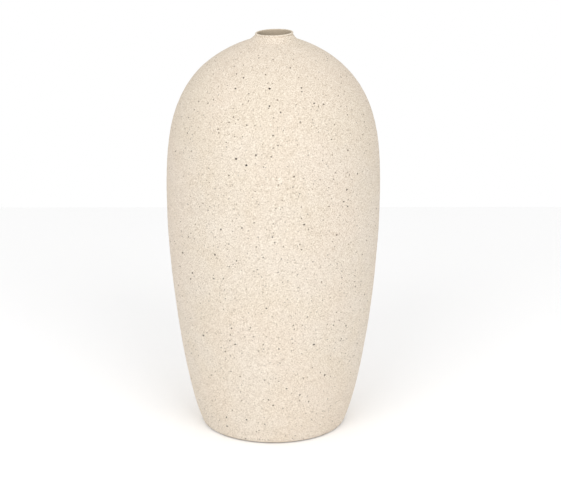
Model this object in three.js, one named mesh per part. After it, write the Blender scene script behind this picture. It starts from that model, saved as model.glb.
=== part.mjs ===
// Tall speckled stoneware vase: a full-bodied bottle with a domed shoulder and a very narrow, short neck.
// It is built as a potter builds a large closed form: a base slab on a foot ring, three thrown wall
// sections and a collar, each rabbeted over the next and luted with slip, then glazed inside.
// Millimetres, +Z up, origin on the vase's axis at the underside of its felt pads.

import * as THREE from 'three';

// ---- Driving dimensions -------------------------------------------------------------------------

const height = 478;                // underside of the pads to the top of the lip
const bellyRadius = 126;           // widest radius of the body
const bellyHeight = 274;           // height of the widest ring
const wall = 7.5;                  // thrown wall, measured square to its surface

const footRadius = 87;             // body radius just above the rounded foot edge
const footLean = 23.6;             // degrees the wall leans out from upright at the foot
const footSpring = 0.19;           // how far up the lower curve the foot's lean carries
const lowerFullness = 0.25;        // how far down from the belly the wall stays upright

const shoulderSlope = 19.3;        // degrees the shoulder falls from level beside the neck
const domeFullness = 0.41;         // how far up from the belly the wall stays upright

const mouthRadius = 19.7;          // clear bore of the mouth and neck
const neckHeight = 9.2;            // shoulder to the top of the lip
const neckFlare = 8.8;             // how far the foot of the neck spreads beyond the bore
const flareRun = 3.6;              // the flare's hollow starts out this far in from its foot,
const flareRise = 2.8;             // and this far up
const lipThickness = 2.5;          // rolled lip, and the diameter of its bead
const lipCrease = 0.3;             // depth of the crease under the lip

const footRingWidth = 15.5;        // radial width of the foot ring at the floor
const footRecess = 6;              // depth of the hollow under the base
const footRounding = 1.5;          // radius on the foot ring's outer bottom edge
const baseThickness = 9;           // base slab
const coilRadius = 8;              // clay coil smoothed into the corner inside the base

const lowerSection = 134;          // height of the first thrown section above the base slab
const bellySection = 150;          // height of the second thrown section
const wallLap = 6;                 // height of the step where two wall sections overlap
const baseLap = 3;                 // height of the step round the base slab
const neckLap = 1.8;               // height of the step under the collar
const neckKerb = 2.4;              // thickness of the kerb that the collar fits over
const slip = 0.6;                  // joining slip left between two luted faces

const glaze = 0.6;                 // lining glaze
const glazeBond = 0.3;             // layer where glaze and clay have melted into each other

const padRadius = 6;               // self-adhesive felt pads under the foot ring
const padThickness = 1.5;
const padCount = 4;

// ---- Smoothness ---------------------------------------------------------------------------------

const turns = 36;                  // facets round the vase
const padTurns = 16;
const lowerSpans = 4;
const bellySpans = 3;
const domeSpans = 8;
const flareSpans = 4;
const footSpans = 2;
const beadSpans = 7;
const coilSpans = 3;

// ---- Derived heights and radii ------------------------------------------------------------------

const radians = THREE.MathUtils.degToRad;
const footHeight = padThickness + footRounding * (1 - Math.sin(radians(footLean)));
const ringTop = padThickness + footRecess;
const baseTop = ringTop + slip + baseThickness;
const bellyJoint = baseTop + lowerSection;
const domeJoint = bellyJoint + bellySection;
const shoulderHeight = height - neckHeight;
const neckJoint = shoulderHeight - slip;
const neckRadius = mouthRadius + neckFlare;
const ringInnerRadius = footRadius - footRingWidth;

// ---- Body curves --------------------------------------------------------------------------------

// The foot-to-belly curve, sunk square to the surface by an inset.
function lowerCurve(inset) {
  const lean = radians(footLean);
  const start = new THREE.Vector2(footRadius - inset * Math.cos(lean), footHeight + inset * Math.sin(lean));
  const belly = new THREE.Vector2(bellyRadius - inset, bellyHeight);
  const rise = belly.y - start.y;
  const pull = footSpring * rise;
  return new THREE.CubicBezierCurve(
    start,
    new THREE.Vector2(start.x + pull * Math.tan(lean), start.y + pull),
    new THREE.Vector2(belly.x, belly.y - lowerFullness * rise),
    belly,
  );
}

// The belly-to-neck curve, sunk square to the surface by an inset.
function domeCurve(inset) {
  const slope = radians(shoulderSlope);
  const belly = new THREE.Vector2(bellyRadius - inset, bellyHeight);
  const end = new THREE.Vector2(neckRadius - inset * Math.sin(slope), shoulderHeight - inset * Math.cos(slope));
  return new THREE.CubicBezierCurve(
    belly,
    new THREE.Vector2(belly.x, belly.y + domeFullness * (end.y - belly.y)),
    new THREE.Vector2(belly.x, end.y - (belly.x - end.x) * Math.tan(slope)),
    end,
  );
}

// Where a body curve passes a given height.
function onBody(inset, z) {
  const curve = z < bellyHeight ? lowerCurve(inset) : domeCurve(inset);
  let low = 0;
  let high = 1;
  for (let step = 0; step < 50; step += 1) {
    const middle = (low + high) / 2;
    if (curve.getPoint(middle).y < z) low = middle;
    else high = middle;
  }
  return new THREE.Vector2(curve.getPoint(high).x, z);
}

const outside = (z) => onBody(0, z);
const inside = (z) => onBody(wall, z);

// Heights from one level to another in even steps, both ends kept.
function evenHeights(from, to, spans) {
  return Array.from({ length: spans + 1 }, (_, i) => (i === spans ? to : from + ((to - from) * i) / spans));
}

// Heights that close up towards the top, as the wall of a dome turns level.
function domeHeights(from, to, spans) {
  return Array.from({ length: spans + 1 }, (_, i) => (
    i === spans ? to : from + (to - from) * Math.sin((Math.PI / 2) * (i / spans))));
}

// Points round an arc, both ends kept; angles in degrees from the +radius direction.
function arc(centreRadius, centreZ, radius, fromAngle, toAngle, spans) {
  return Array.from({ length: spans + 1 }, (_, i) => {
    const angle = radians(fromAngle + ((toAngle - fromAngle) * i) / spans);
    return new THREE.Vector2(centreRadius + radius * Math.cos(angle), centreZ + radius * Math.sin(angle));
  });
}

const at = (radius, z) => new THREE.Vector2(radius, z);

// ---- Inner outline: shared by the wall sections, the corner coil and the glaze -------------------

// The underside of the shoulder runs on at its own slope from the body curve to the bore.
function underShoulder(inset) {
  const end = domeCurve(inset).v3;
  return at(mouthRadius, end.y + (end.x - mouthRadius) * Math.tan(radians(shoulderSlope)));
}

// The coil's hollow face leaves the floor level and meets the wall at the wall's own lean.
const coilTop = baseTop + coilRadius * (1 - Math.sin(radians(footLean)));
const coilCentre = inside(coilTop).x - coilRadius * Math.cos(radians(footLean));
const lowerInner = [
  inside(baseTop + baseLap + slip),
  ...evenHeights(coilTop, bellyJoint + wallLap, lowerSpans).map(inside),
];
const bellyInner = evenHeights(bellyJoint + wallLap + slip, domeJoint + wallLap, bellySpans).map(inside);
const domeInner = [
  ...domeHeights(domeJoint + wallLap + slip, domeCurve(wall).v3.y, domeSpans).map(inside),
  underShoulder(wall),
];
const coilFace = [
  ...arc(coilCentre, baseTop + coilRadius, coilRadius, -90, -footLean, coilSpans).slice(0, -1),
  inside(coilTop),
];

// ---- Rabbeted joints ----------------------------------------------------------------------------

// One piece ends in a step that stands up inside the next; slip fills the space between them.
// base is the outer ledge's height, lap the step's height and seat the radius of the step's outer face.
const middleOf = (z) => (outside(z).x + inside(z).x - slip) / 2;
const joints = {
  base: { base: baseTop, lap: baseLap, seat: middleOf(baseTop), inner: inside },
  belly: { base: bellyJoint, lap: wallLap, seat: middleOf(bellyJoint), inner: inside },
  dome: { base: domeJoint, lap: wallLap, seat: middleOf(domeJoint), inner: inside },
  neck: { base: neckJoint, lap: neckLap, seat: mouthRadius + neckKerb, inner: (z) => at(mouthRadius, z) },
};

// The top of the lower piece, from its outer ledge to its inner edge.
const ledge = ({ base, lap, seat }) => [at(seat, base), at(seat, base + lap)];

// The bottom of the upper piece, from its inner edge to its outer one.
const rebate = ({ base, lap, seat }) => [at(seat + slip, base + lap + slip), at(seat + slip, base + slip)];

const slipOutline = ({ base, lap, seat, inner }) => [
  at(seat, base),
  outside(base),
  outside(base + slip),
  at(seat + slip, base + slip),
  at(seat + slip, base + lap + slip),
  inner(base + lap + slip),
  inner(base + lap),
  at(seat, base + lap),
];

// ---- Outlines of the turned pieces, each traced anticlockwise -------------------------------------

const down = (points) => [...points].reverse();

const footRing = [
  at(ringInnerRadius + footRounding, padThickness),
  ...arc(
    footRadius - footRounding * Math.cos(radians(footLean)),
    padThickness + footRounding,
    footRounding,
    -90,
    -footLean,
    footSpans,
  ),
  outside(ringTop),
  at(ringInnerRadius, ringTop),
  at(ringInnerRadius, padThickness + footRounding),
];

const footSlip = [
  at(ringInnerRadius, ringTop),
  outside(ringTop),
  outside(ringTop + slip),
  at(ringInnerRadius, ringTop + slip),
];

const baseSlab = [
  at(0, ringTop + slip),
  at(ringInnerRadius, ringTop + slip),
  outside(ringTop + slip),
  outside(baseTop),
  ...ledge(joints.base),
  inside(baseTop + baseLap),
  inside(baseTop),
  at(coilCentre, baseTop),
  at(0, baseTop),
];

const cornerCoil = [
  at(coilCentre, baseTop),
  inside(baseTop),
  inside(baseTop + baseLap),
  inside(baseTop + baseLap + slip),
  ...down(coilFace).slice(0, -1),
];

const lowerWall = [
  ...rebate(joints.base),
  ...evenHeights(baseTop + slip, bellyJoint, lowerSpans).map(outside),
  ...ledge(joints.belly),
  ...down(lowerInner),
];

const bellyWall = [
  ...rebate(joints.belly),
  ...evenHeights(bellyJoint + slip, domeJoint, bellySpans).map(outside),
  ...ledge(joints.dome),
  ...down(bellyInner),
];

const shoulderDome = [
  ...rebate(joints.dome),
  ...domeHeights(domeJoint + slip, neckJoint, domeSpans).map(outside),
  ...ledge(joints.neck),
  at(mouthRadius, neckJoint + neckLap),
  ...down(domeInner),
];

const beadRadius = lipThickness / 2;
const beadHeight = height - beadRadius;
const creaseAt = at(mouthRadius + lipThickness - lipCrease, beadHeight - beadRadius);
const flare = new THREE.QuadraticBezierCurve(
  outside(shoulderHeight),
  at(neckRadius - flareRun, shoulderHeight + flareRise),
  creaseAt,
);
const neckCollar = [
  at(mouthRadius, neckJoint + neckLap + slip),
  ...rebate(joints.neck),
  ...flare.getPoints(flareSpans),
  ...arc(mouthRadius + beadRadius, beadHeight, beadRadius, -30, 180, beadSpans),
];

// Everything that the sections and the coil show inside, from the middle of the floor up to the bore.
const linedFace = [at(0, baseTop), ...coilFace, ...lowerInner.slice(2), ...bellyInner, ...domeInner];

// An outline moved square to itself by a depth, towards its left.
function shifted(points, depth) {
  return points.map((point, i) => {
    const before = points[Math.max(i - 1, 0)];
    const after = points[Math.min(i + 1, points.length - 1)];
    const along = after.clone().sub(before).normalize();
    return at(point.x - along.y * depth, point.y + along.x * depth);
  });
}

// The lined face at a depth inside the clay's surface, ended on the bore.
const liningAt = (depth) => [...shifted(linedFace, depth).slice(0, -1), underShoulder(wall + depth)];
const innerGlaze = [...liningAt(glazeBond), ...down(liningAt(glazeBond + glaze))];

// ---- Materials ------------------------------------------------------------------------------------

const clay = { color: 0xf0e3d0, roughness: 0.88, metalness: 0 };
const luting = { color: 0xe6d6c0, roughness: 0.95, metalness: 0 };
const lining = { color: 0xe2d3bb, roughness: 0.3, metalness: 0 };
const felt = { color: 0x8c8377, roughness: 1, metalness: 0 };

// ---- Assembly ---------------------------------------------------------------------------------------

const vase = new THREE.Group();

// Spins an outline about the vase's axis; an outline off the axis is closed on itself.
function turn(name, outline, finish) {
  const onAxis = outline[0].x === 0;
  const points = onAxis ? outline : [...outline, outline[0]];
  const geometry = new THREE.LatheGeometry(points, turns);
  geometry.rotateX(Math.PI / 2);
  const mesh = new THREE.Mesh(geometry, new THREE.MeshStandardMaterial(finish));
  mesh.name = name;
  vase.add(mesh);
}

turn('foot_ring', footRing, clay);
turn('foot_joint_slip', footSlip, luting);
turn('base_slab', baseSlab, clay);
turn('base_joint_slip', slipOutline(joints.base), luting);
turn('corner_coil', cornerCoil, clay);
turn('lower_wall', lowerWall, clay);
turn('belly_joint_slip', slipOutline(joints.belly), luting);
turn('belly_wall', bellyWall, clay);
turn('shoulder_joint_slip', slipOutline(joints.dome), luting);
turn('shoulder_dome', shoulderDome, clay);
turn('neck_joint_slip', slipOutline(joints.neck), luting);
turn('neck_collar', neckCollar, clay);
turn('inner_glaze', innerGlaze, lining);

// The felt pads stand evenly round the middle of the foot ring's flat underside.
const padRing = (ringInnerRadius + footRadius) / 2;
for (let i = 0; i < padCount; i += 1) {
  const angle = ((i + 0.5) / padCount) * 2 * Math.PI;
  const geometry = new THREE.CylinderGeometry(padRadius, padRadius, padThickness, padTurns);
  geometry.rotateX(Math.PI / 2);
  const pad = new THREE.Mesh(geometry, new THREE.MeshStandardMaterial(felt));
  pad.name = `felt_pad_${i + 1}`;
  pad.position.set(padRing * Math.cos(angle), padRing * Math.sin(angle), padThickness / 2);
  vase.add(pad);
}

export default vase;
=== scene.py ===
"""A tall speckled stoneware vase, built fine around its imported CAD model. Metres, +Z up."""
import math
from collections import defaultdict

import bpy
import numpy as np
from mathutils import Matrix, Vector


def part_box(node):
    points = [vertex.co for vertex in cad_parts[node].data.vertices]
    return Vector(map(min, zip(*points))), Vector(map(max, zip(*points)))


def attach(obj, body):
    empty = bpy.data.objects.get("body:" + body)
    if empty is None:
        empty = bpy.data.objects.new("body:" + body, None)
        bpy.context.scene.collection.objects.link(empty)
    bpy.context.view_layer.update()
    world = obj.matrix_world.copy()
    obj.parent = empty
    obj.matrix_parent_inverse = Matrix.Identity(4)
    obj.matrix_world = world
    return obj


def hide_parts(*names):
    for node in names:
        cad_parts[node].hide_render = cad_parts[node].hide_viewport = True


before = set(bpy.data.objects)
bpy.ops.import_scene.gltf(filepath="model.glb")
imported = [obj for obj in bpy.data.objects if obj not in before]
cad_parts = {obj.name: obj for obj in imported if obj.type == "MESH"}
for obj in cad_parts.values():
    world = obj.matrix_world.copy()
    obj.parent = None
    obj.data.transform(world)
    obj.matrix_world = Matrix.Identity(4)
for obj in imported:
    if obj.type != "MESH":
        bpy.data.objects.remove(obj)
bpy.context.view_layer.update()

MM = 0.001
TAU = 2 * math.pi

# ---- How fine the surface is ---------------------------------------------------------------------

AROUND = 512       # columns round the vase
ROW = 1.5 * MM  # spacing of the rows up the outside
FINE_ROW = 0.35 * MM                      # spacing on the neck collar and its lip
HIDDEN_ROW = 9 * MM                       # spacing on faces inside the vase and in its joints
BASE_ROW = 1.2 * MM                       # spacing on the trimmed underside
PAD_ROW = 0.4 * MM                        # spacing on the felt pads
PAD_AROUND = 72                           # columns round a felt pad
CORNER = math.radians(38)                 # an outline turns more sharply than this at a corner
CREASE = math.radians(35)                 # an edge sharper than this isn't shaded smooth
TOUCH = 1e-6                              # metres; closer than this is the same place

# ---- The outlines, read from the CAD model -------------------------------------------------------

WALL_SECTIONS = ["foot_ring", "base_slab", "lower_wall", "belly_wall", "shoulder_dome"]
SLIP_SEAMS = ["foot_joint_slip", "base_joint_slip", "belly_joint_slip", "shoulder_joint_slip"]
PAD_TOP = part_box("felt_pad_1")[1].z
NECK_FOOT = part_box("neck_collar")[0].z
LIP_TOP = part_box("neck_collar")[1].z
BASE_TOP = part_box("lower_wall")[0].z


def outline(node):
    """A turned CAD node's outline in the half-plane y = 0: ordered (radius, height) points."""
    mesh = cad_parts[node].data
    spot = {}
    for vertex in mesh.vertices:
        x, y, z = vertex.co
        if abs(y) < TOUCH and x > -TOUCH:
            spot[vertex.index] = (round(max(x, 0), 7), round(z, 7))
    beside = defaultdict(set)
    for edge in mesh.edges:
        a, b = (spot.get(i) for i in edge.vertices)
        if a and b and a != b:
            beside[a].add(b)
            beside[b].add(a)
    ends = [p for p in beside if len(beside[p]) == 1]
    path = [min(ends or beside, key=lambda p: (p[1], p[0]))]
    while True:
        onward = [p for p in beside[path[-1]] if p not in path]
        if not onward:
            break
        path.append(max(onward, key=lambda p: p[0]) if len(path) == 1 else onward[0])
    return np.array(path)


def body_stations():
    """The outermost points of the CAD's wall, from the foot up to the neck: a convex outline."""
    cloud = np.vstack([outline(node) for node in WALL_SECTIONS])
    cloud = cloud[cloud[:, 1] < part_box("neck_joint_slip")[0].z + 0.1 * MM]
    cloud = cloud[np.lexsort((-cloud[:, 0], cloud[:, 1]))]
    chain = []
    for point in cloud:
        if chain and point[1] == chain[-1][1]:
            continue
        while len(chain) > 1:
            (r1, z1), (r2, z2) = chain[-2:]
            if (r2 - r1) * (point[1] - z1) - (z2 - z1) * (point[0] - r1) > 0:
                break
            chain.pop()
        chain.append(tuple(point))
    return chain


def smooth(points, spacing):
    """A cubic curve through the given points: its points, and the row that each given point falls on."""
    points = np.asarray(points, float)
    steps = np.linalg.norm(np.diff(points, axis=0), axis=1)
    count = len(points)
    if count == 2:
        parts = max(1, math.ceil(steps[0] / spacing - 1e-6))
        share = np.linspace(0, 1, parts + 1)[:, None]
        return points[0] * (1 - share) + points[1] * share, [0, parts]
    system = np.eye(count)
    right = np.zeros((count, 2))
    slopes = np.diff(points, axis=0) / steps[:, None]
    for i in range(1, count - 1):
        system[i, i - 1:i + 2] = steps[i - 1], 2 * (steps[i - 1] + steps[i]), steps[i]
        right[i] = 6 * (slopes[i] - slopes[i - 1])
    bend = np.linalg.solve(system, right)
    rows, marks = [points[:1]], [0]
    for i, step in enumerate(steps):
        parts = max(1, math.ceil(step / spacing - 1e-6))
        b = (np.arange(1, parts + 1) / parts)[:, None]
        a = 1 - b
        rows.append(a * points[i] + b * points[i + 1]
                    + ((a ** 3 - a) * bend[i] + (b ** 3 - b) * bend[i + 1]) * step ** 2 / 6)
        marks.append(marks[-1] + parts)
    return np.vstack(rows), marks


MOUTH_RADIUS = outline("neck_collar")[:, 0].min()
RECESS_RADIUS = outline("foot_ring")[:, 0].min()

# ---- Relief --------------------------------------------------------------------------------------

def value_noise(points, size, seed):
    """Smooth random values from -1 to 1, with features about one size across."""
    side = 64
    table = np.random.default_rng(seed).uniform(-1, 1, (side, side, side))
    scaled = points / size + 1000.37
    low = np.floor(scaled).astype(int)
    share = scaled - low
    share = share * share * (3 - 2 * share)
    total = np.zeros(points.shape[:-1])
    for dx in (0, 1):
        for dy in (0, 1):
            for dz in (0, 1):
                at = (low + (dx, dy, dz)) % side
                weight = (np.where(dx, share[..., 0], 1 - share[..., 0])
                          * np.where(dy, share[..., 1], 1 - share[..., 1])
                          * np.where(dz, share[..., 2], 1 - share[..., 2]))
                total += table[at[..., 0], at[..., 1], at[..., 2]] * weight
    return total


def ramp(value, start, end):
    """0 below start, 1 above end, smooth between."""
    share = np.clip((value - start) / (end - start), 0, 1)
    return share * share * (3 - 2 * share)


THROWING_PITCH = 11.5 * MM                # the potter's fingers leave a faint ring this often,
THROWING_RISE = 9 * MM                    # and climbs this far in one turn, so the rings don't meet at -X


def wall_relief(points):
    """How far the hand-finished outside stands proud of the ideal form. This fades out at the foot
    and the neck."""
    x, y, z = points[..., 0], points[..., 1], points[..., 2]
    angle = np.arctan2(y, x)
    out_of_round = 0.35 * np.cos(2 * angle + 0.6) + 0.18 * np.cos(3 * angle - 1.1 + z / 0.16)
    soft = 0.42 * value_noise(points, 85 * MM, 11) + 0.16 * value_noise(points, 28 * MM, 12)
    height = z + THROWING_RISE * angle / TAU
    rings = 0.05 * np.sin(TAU * height / THROWING_PITCH + 2 * value_noise(points, 60 * MM, 13))
    grain = 0.05 * value_noise(points, 5.5 * MM, 14) + 0.045 * value_noise(points, 3 * MM, 15)
    form_held = (ramp(z, PAD_TOP + 1 * MM, PAD_TOP + 14 * MM)
                 * (1 - ramp(z, NECK_FOOT - 26 * MM, NECK_FOOT)))
    grain_held = ramp(z, PAD_TOP, PAD_TOP + 2 * MM) * (1 - ramp(z, NECK_FOOT - 6 * MM, NECK_FOOT))
    return ((out_of_round + soft + rings) * form_held + grain * grain_held) * MM


# ---- Turning -------------------------------------------------------------------------------------

NECK_ASIDE = 0.8 * MM                     # set on by hand, the neck stands this far towards +X,
NECK_BLEND = 40 * MM                      # a shift that starts this far down the shoulder;
LIP_ASIDE = 0.4 * MM                      # the lip stands a little further to that side
LIP_TILT = math.tan(math.radians(1.8))    # and rises towards it


def spin(rows, around=AROUND, centre=(0, 0)):
    """(radius, height) rows spun about an upright axis: an array of rows by columns by 3."""
    rows = np.asarray(rows)
    angles = np.arange(around) / around * TAU
    points = np.empty((len(rows), around, 3))
    points[..., 0] = centre[0] + rows[:, :1] * np.cos(angles)
    points[..., 1] = centre[1] + rows[:, :1] * np.sin(angles)
    points[..., 2] = rows[:, 1:]
    points[..., 0] += NECK_ASIDE * ramp(points[..., 2], NECK_FOOT - NECK_BLEND, NECK_FOOT)
    return points


def grid_normals(points):
    """Normals of a grid of rows by columns, facing out."""
    along = np.roll(points, -1, axis=1) - np.roll(points, 1, axis=1)
    up = np.gradient(points, axis=0)
    normal = np.cross(along, up)
    return normal / np.linalg.norm(normal, axis=2, keepdims=True)


STATIONS = body_stations()
skin_rows, skin_marks = smooth(STATIONS, ROW)
SKIN = spin(skin_rows)
SKIN += grid_normals(SKIN) * wall_relief(SKIN)[..., None]
SKIN_NORMALS = grid_normals(SKIN)
SKIN_ROW_OF = {station: row for station, row in zip(STATIONS, skin_marks)}


def make_mesh(name, blocks, closed):
    """One mesh from blocks of rows, each block (points, normals or None). Blocks share their end rows: the
    last row of one is the first of the next. A row on the axis becomes one vertex."""
    rows = [blocks[0][0][0]]
    around = len(rows[0])
    fixed = []
    for points, normals in blocks:
        for i in range(1, len(points)):
            rows.append(points[i])
            fixed.append(None if normals is None else (normals[i - 1], normals[i]))
    if closed:
        rows.pop()
    vertices, starts = [], []
    for row in rows:
        starts.append(len(vertices))
        pole = np.ptp(row, axis=0).max() < TOUCH
        vertices.extend(row[:1].tolist() if pole else row.tolist())
    starts.append(len(vertices))
    faces, loop_normals = [], []
    for i, given in enumerate(fixed):
        j = (i + 1) % len(rows)
        size_i = starts[i + 1] - starts[i]
        size_j = starts[j + 1] - starts[j]
        for c in range(around):
            n = (c + 1) % around
            a, b = starts[i] + c % size_i, starts[i] + n % size_i
            d, e = starts[j] + c % size_j, starts[j] + n % size_j
            corners = [(a, 0, c), (b, 0, n), (e, 1, n), (d, 1, c)]
            if size_i == 1:
                corners = [corners[0], corners[2], corners[3]]
            if size_j == 1:
                corners = corners[:3]
            faces.append([corner[0] for corner in corners])
            loop_normals.extend((0, 0, 0) if given is None else given[k][m] for _, k, m in corners)
    mesh = bpy.data.meshes.new(name)
    mesh.from_pydata(vertices, [], faces)
    mesh.shade_smooth()
    mesh.set_sharp_from_angle(angle=CREASE)
    mesh.normals_split_custom_set(loop_normals)
    piece = bpy.data.objects.new(name, mesh)
    bpy.context.scene.collection.objects.link(piece)
    return piece


def runs(points):
    """An outline split where it turns a corner. Each run shares its end points with the next."""
    sharp = []
    for i in range(len(points)):
        if i in (0, len(points) - 1):
            sharp.append(i)
            continue
        before = points[i] - points[i - 1]
        after = points[i + 1] - points[i]
        turn = math.atan2(before[0] * after[1] - before[1] * after[0], before @ after)
        if abs(turn) > CORNER:
            sharp.append(i)
    return [points[a:b + 1] for a, b in zip(sharp, sharp[1:])]


def anticlockwise(points):
    """An outline in the order that makes the faces turned from it face out."""
    area = np.sum(points[:, 0] * np.roll(points[:, 1], -1) - np.roll(points[:, 0], -1) * points[:, 1])
    return points if area > 0 else points[::-1]


def finish_piece(piece, node, material):
    """A fine piece gets its material and stands for its CAD node."""
    piece.data.materials.append(material)
    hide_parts(node)
    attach(piece, "root")


def turned(node, material, spacing=HIDDEN_ROW, change=None):
    """A fine piece for a turned CAD node. Where the node is part of the vase's outside it takes the skin;
    change moves the points of its other faces."""
    points = anticlockwise(outline(node))
    closed = bool(points[:, 0].min() > TOUCH)
    outside = [tuple(p) in SKIN_ROW_OF for p in points]
    if any(outside):
        first = next(i for i in range(len(points)) if outside[i] and not outside[i - 1])
        points = np.roll(points, -first, axis=0) if closed else points
        outside = np.roll(outside, -first) if closed else np.array(outside)
        count = int(outside.sum())
        start = 0 if closed else first
        low = SKIN_ROW_OF[tuple(points[start])]
        high = SKIN_ROW_OF[tuple(points[start + count - 1])]
        skin = (SKIN[low:high + 1], SKIN_NORMALS[low:high + 1])
        after = points[start + count - 1:]
        after = np.vstack([after, points[:1]]) if closed else after
        before = [] if closed else plain_blocks(points[:start + 1], spacing, change)
        blocks = before + [skin] + plain_blocks(after, spacing, change)
        at = len(before)
        if closed or before:
            blocks[at - 1][0][-1] = skin[0][0]
        blocks[(at + 1) % len(blocks)][0][0] = skin[0][-1]
    else:
        ring = np.vstack([points, points[:1]]) if closed else points
        blocks = plain_blocks(ring, spacing, change)
    finish_piece(make_mesh(node + "_fine", blocks, closed), node, material)


def plain_blocks(points, spacing, change):
    """Blocks for a stretch of outline that isn't on the vase's outside, corner to corner."""
    made = []
    for run in runs(points):
        grid = spin(smooth(run, spacing)[0])
        if change is not None:
            grid = change(grid)
        made.append((grid, None))
    return made


# ---- Shader kit ----------------------------------------------------------------------------------

class Shader:
    """A material with one Principled shader, and short calls for the nodes behind it."""

    def __init__(self, name):
        self.material = bpy.data.materials.new(name)
        self.material.use_nodes = True
        self.tree = self.material.node_tree
        self.surface = self.tree.nodes["Principled BSDF"]
        self.place = self.tree.nodes.new("ShaderNodeTexCoord").outputs["Object"]

    def add(self, kind, inputs=(), **settings):
        made = self.tree.nodes.new(kind)
        for key, value in settings.items():
            setattr(made, key, value)
        for key, value in dict(inputs).items():
            self.put(made.inputs[key], value)
        return made

    def put(self, socket, value):
        if isinstance(value, bpy.types.NodeSocket):
            self.tree.links.new(value, socket)
        else:
            socket.default_value = value

    def math(self, operation, a, b=0.0, clamp=False):
        return self.add("ShaderNodeMath", {0: a, 1: b}, operation=operation, use_clamp=clamp).outputs[0]

    def vector(self, operation, inputs, result=0):
        return self.add("ShaderNodeVectorMath", inputs, operation=operation).outputs[result]

    def noise(self, size, detail=2.0, roughness=0.5, place=None):
        made = self.add("ShaderNodeTexNoise", {"Vector": place or self.place, "Scale": 1 / size,
                                               "Detail": detail, "Roughness": roughness})
        return made.outputs[0]

    def fit(self, value, low, high, to_low=0.0, to_high=1.0):
        made = self.add("ShaderNodeMapRange", {"Value": value, "From Min": low, "From Max": high,
                                               "To Min": to_low, "To Max": to_high})
        return made.outputs[0]

    def blend(self, share, a, b):
        made = self.add("ShaderNodeMix", data_type="RGBA")
        for socket, value in ((made.inputs[0], share), (made.inputs[6], a), (made.inputs[7], b)):
            self.put(socket, value)
        return made.outputs[2]

    def height_of(self):
        return self.add("ShaderNodeSeparateXYZ", {0: self.place}).outputs[2]


def rgb(red, green, blue):
    """A colour given as 0 to 255 screen values, as the linear values that shaders take."""
    def linear(value):
        value /= 255
        return value / 12.92 if value <= 0.04045 else ((value + 0.055) / 1.055) ** 2.4
    return (linear(red), linear(green), linear(blue), 1.0)


def speckle(shader, cell, radius, share, offset, soft=0.2):
    """Specks scattered through the clay, cut by its surface: (mask, tone). cell is their mean spacing in
    the body, radius the largest one's, share how many cells hold one. Their size and tone vary. offset
    moves the pattern, so that no two sets of specks fall together, and soft is how far an edge fades."""
    moved = shader.vector("ADD", {0: shader.place, 1: (offset, offset * 0.7, offset * 1.3)})
    wobble = shader.add("ShaderNodeTexNoise", {"Vector": moved, "Scale": 0.6 / radius, "Detail": 1.0})
    wobble = shader.vector("SUBTRACT", {0: wobble.outputs["Color"], 1: (0.5, 0.5, 0.5)})
    wobble = shader.vector("SCALE", {0: wobble, "Scale": radius * 1.1})
    moved = shader.vector("ADD", {0: moved, 1: wobble})
    cells = shader.add("ShaderNodeTexVoronoi", {"Vector": moved, "Scale": 1 / cell, "Randomness": 1.0},
                       feature="F1")
    chance = shader.add("ShaderNodeSeparateColor", {0: cells.outputs["Color"]})
    reach = shader.fit(chance.outputs[0], 0.0, 1.0, 0.45 * radius / cell, radius / cell)
    outer = shader.math("MULTIPLY", reach, 1 + soft)
    inner = shader.math("MULTIPLY", reach, 1 - soft)
    mask = shader.fit(cells.outputs["Distance"], outer, inner)
    held = shader.math("LESS_THAN", chance.outputs[1], share)
    return shader.math("MULTIPLY", mask, held), chance.outputs[2]


# ---- Materials -----------------------------------------------------------------------------------

CLAY_BODY = rgb(218, 207, 193)
CLAY_WARM = rgb(215, 202, 184)
CLAY_BLUSH = rgb(219, 203, 187)
CLAY_PALE = rgb(239, 230, 216)
SAND_DARK = rgb(166, 150, 130)
IRON_BLACK = rgb(34, 28, 24)
IRON_DARK = rgb(58, 46, 38)
IRON_BROWN = rgb(96, 80, 64)
GROG_TAN = rgb(160, 138, 112)
# the liner glaze inside the mouth, darkened as painted shade for the shadowed inside of the neck
MOUTH_GLAZE_AND_SHADE = rgb(186, 172, 152)
GLAZE_THICK = rgb(214, 198, 172)
GLAZE_THIN = rgb(228, 214, 190)
GLAZE_POOLED = rgb(178, 154, 122)
GLAZE_SPECK = rgb(112, 84, 60)
FELT_DARK = rgb(96, 88, 78)
FELT_PALE = rgb(158, 149, 136)
PAPER_DIM = rgb(251, 251, 251)
PAPER_BRIGHT = rgb(254, 254, 254)

# Specks in the clay body: mean spacing, largest radius, share of the spots filled, strength, two tones
SPECKS = [
    (12.8 * MM, 1.25 * MM, 0.85, 1.00, IRON_BLACK, IRON_DARK),
    (8.0 * MM, 0.90 * MM, 0.85, 1.00, IRON_BLACK, IRON_BROWN),
    (5.6 * MM, 0.70 * MM, 0.85, 1.00, IRON_BLACK, IRON_BROWN),
    (4.0 * MM, 0.52 * MM, 0.85, 0.95, IRON_DARK, GROG_TAN),
    (3.1 * MM, 0.40 * MM, 0.85, 0.85, IRON_BROWN, GROG_TAN),
]


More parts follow.
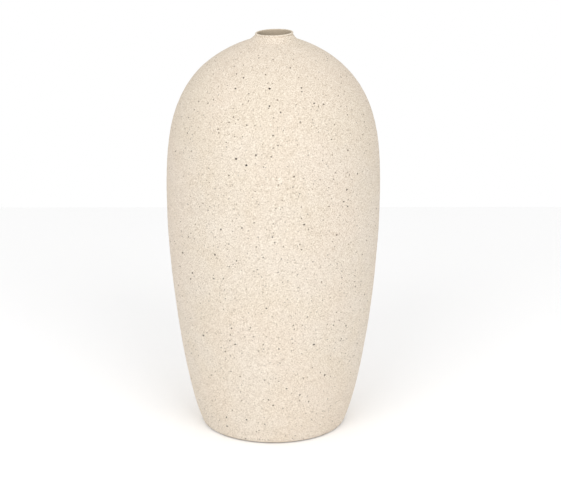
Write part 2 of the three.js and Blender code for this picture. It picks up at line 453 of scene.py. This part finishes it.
def clay(name, glazed_and_shaded_to=None):
    """Matt speckled stoneware: sandy cream clay with iron and grog grains through it. Within the radius
    glazed_and_shaded_to of the middle of the mouth lies the satin liner glaze, its colour darkened as
    painted shade."""
    shader = Shader(name)
    height = shader.height_of()
    broad = shader.noise(45 * MM, 2.0)
    patch = shader.noise(9 * MM, 3.0, 0.6)
    sand = shader.noise(0.85 * MM, 2.0, 0.6)
    # the clay turns warmer towards the top of the shoulder
    rising_warmth = shader.fit(height, 0.6 * NECK_FOOT, 0.95 * NECK_FOOT, -0.15, 0.8)
    warmth = shader.math("ADD", shader.fit(broad, 0.35, 0.65), rising_warmth, clamp=True)
    tone = shader.blend(warmth, CLAY_BODY, CLAY_WARM)
    blush = shader.noise(80 * MM, 1.0)
    tone = shader.blend(shader.fit(blush, 0.45, 0.62, 0.0, 0.4), tone, CLAY_BLUSH)
    tone = shader.blend(shader.fit(patch, 0.4, 0.75, 0.0, 0.2), tone, CLAY_PALE)
    wiped = shader.fit(height, NECK_FOOT - 14 * MM, NECK_FOOT - 2 * MM)
    tone = shader.blend(shader.fit(sand, 0.34, 0.50, 0.86, 0.0), tone, SAND_DARK)
    tone = shader.blend(shader.fit(sand, 0.50, 0.66, 0.0, 0.95), tone, CLAY_PALE)
    shown = shader.math("SUBTRACT", 1.0, shader.math("MULTIPLY", wiped, 0.5))
    pits = 0.0
    for number, (cell, radius, share, strength, dark, light) in enumerate(SPECKS):
        mask, chance = speckle(shader, cell, radius, share, 3.1 + 2.7 * number)
        mask = shader.math("MULTIPLY", mask, shader.math("MULTIPLY", shown, strength))
        tone = shader.blend(mask, tone, shader.blend(chance, dark, light))
        pits = shader.math("MAXIMUM", pits, mask)
    roughness = shader.fit(sand, 0.3, 0.7, 0.95, 0.82)
    if glazed_and_shaded_to:
        inside = glaze_and_shade_edge(shader, glazed_and_shaded_to)
        # the liner glaze's colour inside the mouth, darker as painted shade; its lower roughness is the
        # real glaze
        tone = shader.blend(inside, tone, MOUTH_GLAZE_AND_SHADE)
        roughness = shader.math("SUBTRACT", roughness, shader.math("MULTIPLY", inside, 0.4))
    shader.put(shader.surface.inputs["Base Color"], tone)
    shader.put(shader.surface.inputs["Roughness"], roughness)
    shader.surface.inputs["Specular IOR Level"].default_value = 0.25
    fine = shader.noise(0.8 * MM, 2.0, 0.6)
    relief = shader.math("ADD", shader.math("MULTIPLY", sand, 0.7), shader.math("MULTIPLY", fine, 0.3))
    relief = shader.math("SUBTRACT", relief, shader.math("MULTIPLY", pits, 0.25))
    bump = shader.add("ShaderNodeBump", {"Strength": 1.0, "Distance": 0.45 * MM, "Height": relief})
    shader.put(shader.surface.inputs["Normal"], bump.outputs[0])
    return shader.material


def glaze_and_shade_edge(shader, reach):
    """1 where the liner glaze runs up inside the mouth, 0 on the clay; the glaze's colour there is
    darkened as painted shade. Its edge wavers about the radius reach, measured from the middle of the
    mouth."""
    middle = shader.vector("SUBTRACT", {0: shader.place, 1: (NECK_ASIDE + LIP_ASIDE, 0.0, 0.0)})
    flat = shader.vector("MULTIPLY", {0: middle, 1: (1.0, 1.0, 0.0)})
    radius = shader.vector("LENGTH", {0: flat}, result="Value")
    waver = shader.fit(shader.noise(6 * MM, 2.0), 0.3, 0.7, -0.2 * MM, 0.2 * MM)
    return shader.fit(shader.math("ADD", radius, waver), reach + 0.3 * MM, reach - 0.1 * MM)


def lining():
    """A thin satin glaze over the clay, pooled a little darker low in the vase."""
    shader = Shader("liner_glaze")
    run = shader.noise(20 * MM, 3.0, 0.55)
    tone = shader.blend(shader.fit(run, 0.3, 0.7), GLAZE_THICK, GLAZE_THIN)
    depth = shader.fit(shader.height_of(), BASE_TOP, BASE_TOP + 30 * MM, 0.6, 0.0)
    tone = shader.blend(depth, tone, GLAZE_POOLED)
    mask = speckle(shader, 8.5 * MM, 0.9 * MM, 0.8, 4.3, soft=0.5)[0]
    tone = shader.blend(shader.math("MULTIPLY", mask, 0.6), tone, GLAZE_SPECK)
    shader.put(shader.surface.inputs["Base Color"], tone)
    shader.put(shader.surface.inputs["Roughness"], shader.fit(run, 0.3, 0.7, 0.24, 0.4))
    shader.surface.inputs["Coat Weight"].default_value = 0.4
    shader.surface.inputs["Coat Roughness"].default_value = 0.12
    ripple = shader.noise(4 * MM, 2.0)
    wave = shader.add("ShaderNodeBump", {"Strength": 0.6, "Distance": 0.4 * MM, "Height": ripple})
    shader.put(shader.surface.inputs["Normal"], wave.outputs[0])
    return shader.material


def felt():
    """Pressed wool felt: matted fibres in two greys, with a soft sheen."""
    shader = Shader("felt")
    stretched = shader.add("ShaderNodeMapping", {"Vector": shader.place, "Scale": (1.0, 3.5, 2.0)})
    fibre = shader.noise(1.1 * MM, 6.0, 0.75, stretched.outputs[0])
    flock = shader.noise(0.4 * MM, 3.0, 0.7)
    mixed = shader.math("ADD", shader.math("MULTIPLY", fibre, 0.6), shader.math("MULTIPLY", flock, 0.4))
    tone = shader.blend(shader.fit(mixed, 0.36, 0.62), FELT_DARK, FELT_PALE)
    shader.put(shader.surface.inputs["Base Color"], tone)
    shader.surface.inputs["Roughness"].default_value = 1.0
    shader.surface.inputs["Sheen Weight"].default_value = 0.35
    shader.surface.inputs["Sheen Roughness"].default_value = 0.5
    bump = shader.add("ShaderNodeBump", {"Strength": 1.0, "Distance": 0.3 * MM, "Height": mixed})
    shader.put(shader.surface.inputs["Normal"], bump.outputs[0])
    return shader.material


# ---- The pieces ----------------------------------------------------------------------------------

STONEWARE = clay("stoneware")
SLIP = clay("joining_slip")
# inside the mouth and bore the clay takes the liner glaze's colour, darkened as painted shade
COLLAR_CLAY = clay("stoneware_glazed_shaded_mouth", MOUTH_RADIUS + 0.3 * MM)
BORE_CLAY = clay("stoneware_glazed_shaded_bore", MOUTH_RADIUS + 2 * MM)
BORE_SLIP = clay("joining_slip_glazed_shaded_bore", MOUTH_RADIUS + 2 * MM)
GLAZE = lining()
FELT = felt()

RING_PITCH = 3.4 * MM      # rings that the trimming tool left under the base
RING_DEPTH = 0.12 * MM


def trimmed(grid):
    """The underside of the base slab with the trimming tool's rings, which wind in as one slow spiral."""
    radius = np.hypot(grid[..., 0], grid[..., 1])
    turn = np.arctan2(grid[..., 1], grid[..., 0]) / TAU
    waver = 0.25 * value_noise(grid, 20 * MM, 21)
    share = ramp(radius, 0, 2 * RING_PITCH)
    share *= 1 - ramp(radius, RECESS_RADIUS - 2 * RING_PITCH, RECESS_RADIUS)
    share *= grid[..., 2] < (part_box("base_slab")[0].z + BASE_TOP) / 2
    rings = np.sin(TAU * (radius / RING_PITCH - turn + waver))
    grid[..., 2] += RING_DEPTH * share * (rings + 0.8 * value_noise(grid, 4 * MM, 22))
    return grid


def tilted(grid):
    """The collar with its lip set a little to one side and rising towards it."""
    share = ramp(grid[..., 2], NECK_FOOT + 1.5 * MM, LIP_TOP - 0.5 * MM)
    grid[..., 2] += grid[..., 0] * LIP_TILT * share
    grid[..., 0] += LIP_ASIDE * share
    return grid


def felt_pad(node, seed):
    """A die-cut felt disc on a film of adhesive, with a soft cut edge and a face worn slightly hollow
    and uneven."""
    low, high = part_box(node)
    centre = ((low.x + high.x) / 2, (low.y + high.y) / 2)
    room = 0.15 * MM                      # inside the CAD pad, for the waver of the cut edge
    film = 0.2 * MM
    edge = 0.45 * MM
    hollow = 0.1 * MM
    radius = (high.x - low.x) / 2 - room
    face = [(0, low.z + hollow), (0.5 * radius, low.z + 0.8 * hollow), (radius - edge, low.z)]
    side = [(radius, low.z + edge), (radius - 0.05 * MM, high.z - film - 0.3 * MM)]
    top = [(radius - edge, high.z - film), (radius - edge, high.z), (0, high.z)]
    blocks = []
    for run in runs(np.array(face + side + top)):
        grid = spin(smooth(run, PAD_ROW)[0], PAD_AROUND, centre)
        across = grid[..., :2] - centre
        share = np.linalg.norm(across, axis=2, keepdims=True) / radius
        grid[..., :2] += across * share * 0.02 * value_noise(grid, 1.3 * MM, seed)[..., None]
        lower = grid[..., 2] < (low.z + high.z) / 2
        grid[..., 2] += np.where(lower, 0.05 * MM * np.abs(value_noise(grid, 1.1 * MM, seed + 1)), 0)
        blocks.append((grid, None))
    finish_piece(make_mesh(node + "_fine", blocks, False), node, FELT)


for section in ("foot_ring", "corner_coil", "lower_wall", "belly_wall"):
    turned(section, STONEWARE)
turned("base_slab", STONEWARE, spacing=BASE_ROW, change=trimmed)
turned("shoulder_dome", BORE_CLAY)
for seam in SLIP_SEAMS:
    turned(seam, SLIP)
turned("inner_glaze", GLAZE)
turned("neck_joint_slip", BORE_SLIP)

turned("neck_collar", COLLAR_CLAY, spacing=FINE_ROW, change=tilted)

for number in range(1, 5):
    felt_pad(f"felt_pad_{number}", 30 + 2 * number)


# ---- Studio --------------------------------------------------------------------------------------

SURROUND = 0.85                           # how brightly the white surround lights the vase
SOFTBOX_POWER = 21.5                      # watts, each of the two in front
SOFTBOX_PLACE = (1.0, -2.12, 1.8)         # the right-hand one; the other is its mirror image
SOFTBOX_SIZE = 1.5
SOFTBOX_AIM = (0, 0, 0.24)                # half-way up the vase
FLOOR_REACH = 0.94                        # half the width of the square of paper that the vase stands on
FLOOR_MOTTLE = 0.4                        # size of the paper's faint light and dark patches
CAMERA_BACK = 2.10                        # from the vase's axis,
CAMERA_UP = 0.865                         # above the floor,
CAMERA_PITCH = math.radians(16.924)       # looking down,
CAMERA_ASIDE = 0.0085                     # and aimed this far to the right of the axis


def placed(name, data, place, aim):
    """A lamp or camera in the scene, pointing at aim."""
    holder = bpy.data.objects.new(name, data)
    holder.location = place
    holder.rotation_euler = (Vector(aim) - Vector(place)).to_track_quat("-Z", "Y").to_euler()
    bpy.context.scene.collection.objects.link(holder)
    return holder


def area_light(name, place):
    lamp = bpy.data.lights.new(name, "AREA")
    lamp.shape = "SQUARE"
    lamp.size = SOFTBOX_SIZE
    lamp.energy = SOFTBOX_POWER
    placed(name, lamp, place, SOFTBOX_AIM)


def surround():
    """A pure white surround, which lights the scene less than it shows."""
    world = bpy.data.worlds.new("surround")
    world.use_nodes = True
    nodes, links = world.node_tree.nodes, world.node_tree.links
    seen = nodes.new("ShaderNodeLightPath").outputs["Is Camera Ray"]
    strength = nodes.new("ShaderNodeMapRange")
    strength.inputs["To Min"].default_value = SURROUND
    strength.inputs["To Max"].default_value = 1.0
    links.new(seen, strength.inputs["Value"])
    nodes["Background"].inputs["Color"].default_value = (1.0, 1.0, 1.0, 1.0)
    links.new(strength.outputs[0], nodes["Background"].inputs["Strength"])
    bpy.context.scene.world = world


def studio():
    """White surround, two softboxes in front and a square of white paper on the floor."""
    scene = bpy.context.scene
    scene.view_settings.view_transform = "Standard"
    surround()
    x, y, z = SOFTBOX_PLACE
    area_light("softbox_left", (-x, y, z))
    area_light("softbox_right", (x, y, z))
    mesh = bpy.data.meshes.new("floor")
    corners = [(-1, -1), (1, -1), (1, 1), (-1, 1)]
    mesh.from_pydata([(a * FLOOR_REACH, b * FLOOR_REACH, 0) for a, b in corners], [], [(0, 1, 2, 3)])
    floor = bpy.data.objects.new("floor", mesh)
    scene.collection.objects.link(floor)
    paper = Shader("paper")
    tone = paper.blend(paper.noise(FLOOR_MOTTLE, 2.0), PAPER_DIM, PAPER_BRIGHT)
    paper.put(paper.surface.inputs["Base Color"], tone)
    paper.surface.inputs["Roughness"].default_value = 0.9
    mesh.materials.append(paper.material)


def camera():
    """A long lens a little above the vase, pitched down on it."""
    lens = bpy.data.cameras.new("camera")
    lens.sensor_width = 36.0
    lens.lens = 117.7
    lens.clip_end = 50
    aim = (CAMERA_ASIDE, 0, CAMERA_UP - CAMERA_BACK * math.tan(CAMERA_PITCH))
    bpy.context.scene.camera = placed("camera", lens, (0, -CAMERA_BACK, CAMERA_UP), aim)


studio()
camera()
